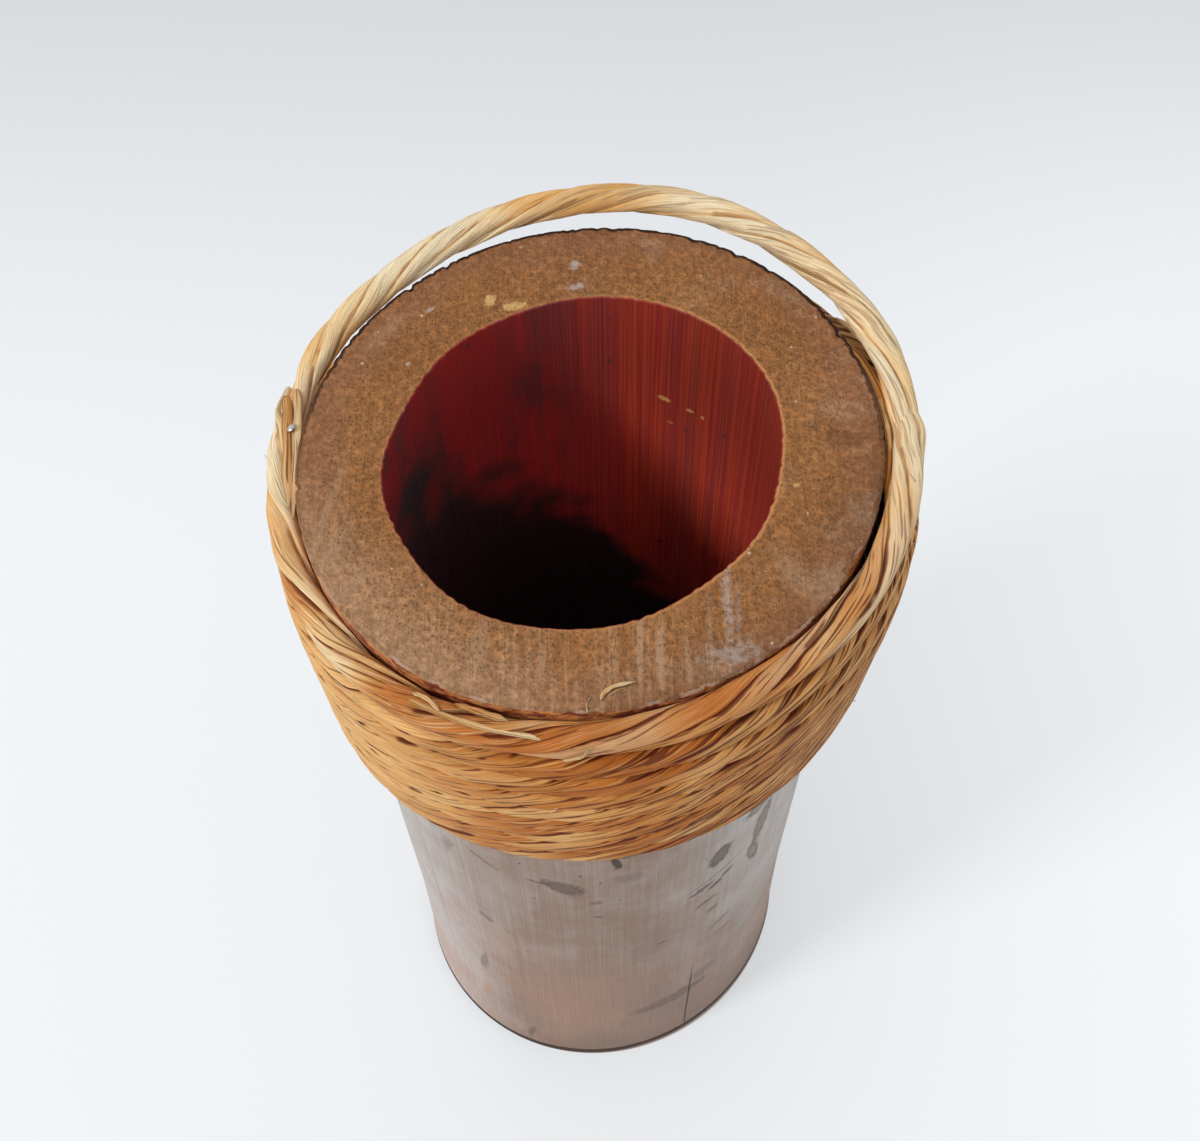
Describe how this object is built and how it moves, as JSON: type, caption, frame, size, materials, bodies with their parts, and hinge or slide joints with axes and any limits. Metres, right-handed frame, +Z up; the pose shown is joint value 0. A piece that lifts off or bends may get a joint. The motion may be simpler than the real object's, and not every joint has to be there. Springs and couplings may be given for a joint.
{
  "type": "bamboo vase",
  "caption": "Tall vase cut from thick-walled bamboo, bound below its rim with twisted rush cord whose topmost turn stands free at the back as a folding loop handle.",
  "frame": {"origin": "centre of the flat base", "axes": "+Z up along the culm to the rim, +Y to the back where the handle folds down, +X to the right seen from the front"},
  "size_m": [0.1377, 0.1381, 0.2766],
  "materials": {
    "bamboo": "weathered silvery skin, sawn brown end grain, lacquered dark red bore",
    "rush_cord": "twisted dried rush leaf, satin",
    "brad_steel": "small bright heads"
  },
  "bodies": {
    "vase": {"bamboo_culm": "bamboo", "cord_winding": "rush_cord", "rim_turn": "rush_cord", "brads": "brad_steel"},
    "handle": {"handle_cord": "rush_cord"}
  },
  "joints": [
    {"name": "handle_lift", "type": "hinge", "parent": "vase", "child": "handle", "pos_m": [0.00114, 0.01218, 0.26531], "axis": [0.9977, -0.0454, 0.0507], "range_deg": [0, 85]}
  ]
}
